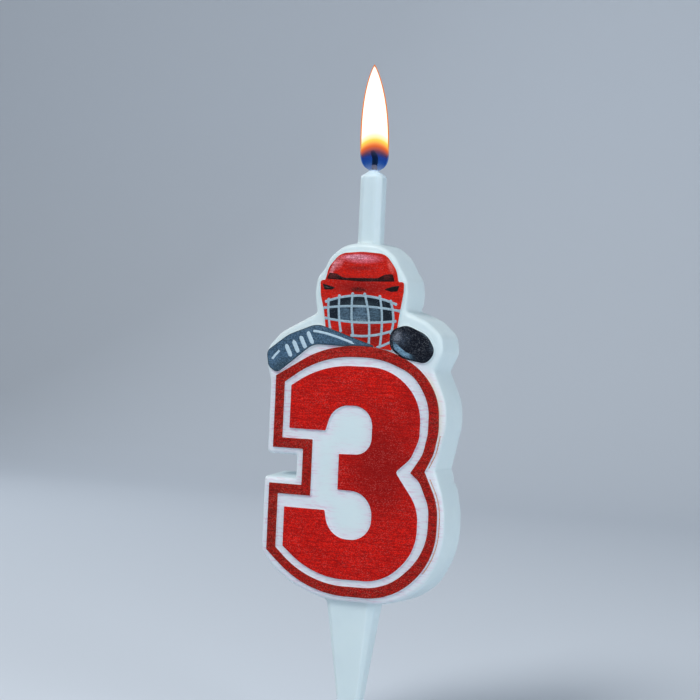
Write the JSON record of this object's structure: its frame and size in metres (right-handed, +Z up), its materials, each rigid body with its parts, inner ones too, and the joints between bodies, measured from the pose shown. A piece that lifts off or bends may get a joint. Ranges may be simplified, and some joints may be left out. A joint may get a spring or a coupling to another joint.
{
  "type": "number birthday candle",
  "caption": "Moulded wax cake candle shaped as the number 3, with printed numeral, hockey helmet, stick and puck, a neck with a wick, and a tapered cake peg.",
  "frame": {"origin": "on the axis shared by the wick, neck and peg, at the height where the peg leaves the slab's underside, midway between the slab's front and back faces", "axes": "+Z up along the wick; +X across the numeral, to the right as its front is read; -Y out of the printed front and +Y out of the flat back"},
  "size_m": [0.0427, 0.0103, 0.1434],
  "materials": {
    "wax": "white paraffin wax, softly translucent, satin",
    "wick_cotton": "plaited cotton soaked in wax",
    "wick_burnt": "charred cotton",
    "flame_glow": "glowing gas: blue at its foot, orange above that, pale yellow over most of its height",
    "ink_dark_red": "thin printed ink, satin",
    "ink_bright_red": "thin printed ink, satin",
    "ink_shadow_red": "thin printed ink, satin",
    "ink_black": "thin printed ink, satin",
    "ink_slate": "thin printed ink, satin",
    "ink_wire_blue": "thin printed ink, satin",
    "ink_pale": "thin printed ink, satin",
    "ink_rim_blue": "thin printed ink, satin"
  },
  "bodies": {
    "root": {"wax_body": "wax", "wick": "wick_cotton", "wick_char": "wick_burnt", "flame": "flame_glow", "numeral_band_ink": "ink_dark_red", "numeral_fill_ink": "ink_bright_red", "helmet_shell_ink": "ink_bright_red", "helmet_brow_ink": "ink_shadow_red", "helmet_vent_ink": "ink_black", "cage_window_ink": "ink_slate", "cage_wire_ink": "ink_wire_blue", "stick_blade_ink": "ink_slate", "stick_tape_ink": "ink_pale", "puck_face_ink": "ink_black", "puck_rim_ink": "ink_rim_blue"}
  },
  "joints": []
}
